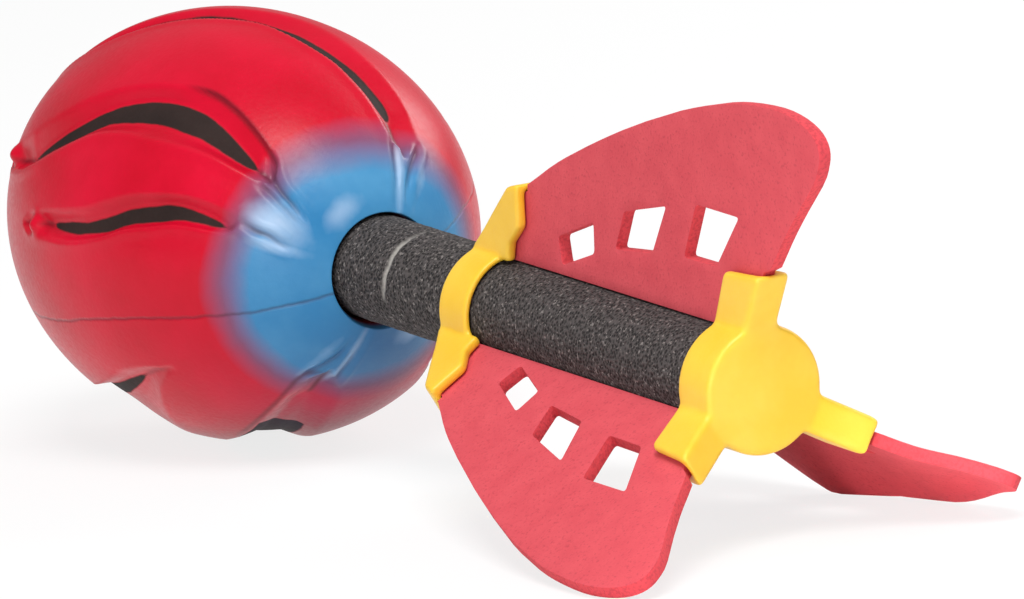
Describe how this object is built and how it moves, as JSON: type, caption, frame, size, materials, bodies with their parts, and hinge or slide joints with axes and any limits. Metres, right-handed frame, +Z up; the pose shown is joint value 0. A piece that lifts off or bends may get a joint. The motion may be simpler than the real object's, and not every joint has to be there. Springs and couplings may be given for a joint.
{
  "type": "vortex throwing toy",
  "caption": "Throwing toy with an egg-shaped foam ball, a foam-covered tail tube and flat foam tail fins held in a plastic collar and an end cap.",
  "frame": {"origin": "middle of the footprint on the level surface that the toy lies on", "axes": "+X towards the ball's nose, +Z up, one fin upright in the XZ plane; the toy's own axis rises 3.8 degrees towards the nose because the ball is larger than the lower fins' reach"},
  "size_m": [0.3394, 0.1152, 0.1015],
  "materials": {
    "ball_foam": "glossy skin",
    "sleeve_foam": "coarse matt",
    "fin_foam": "matt",
    "yellow_plastic": "satin",
    "tube_plastic": "satin"
  },
  "bodies": {
    "root": {"ball_head": "ball_foam", "head_insert": "tube_plastic", "tail_tube": "tube_plastic", "foam_sleeve": "sleeve_foam", "front_collar": "yellow_plastic", "rear_cap": "yellow_plastic", "fin_1": "fin_foam", "fin_2": "fin_foam", "fin_3": "fin_foam"}
  },
  "joints": []
}
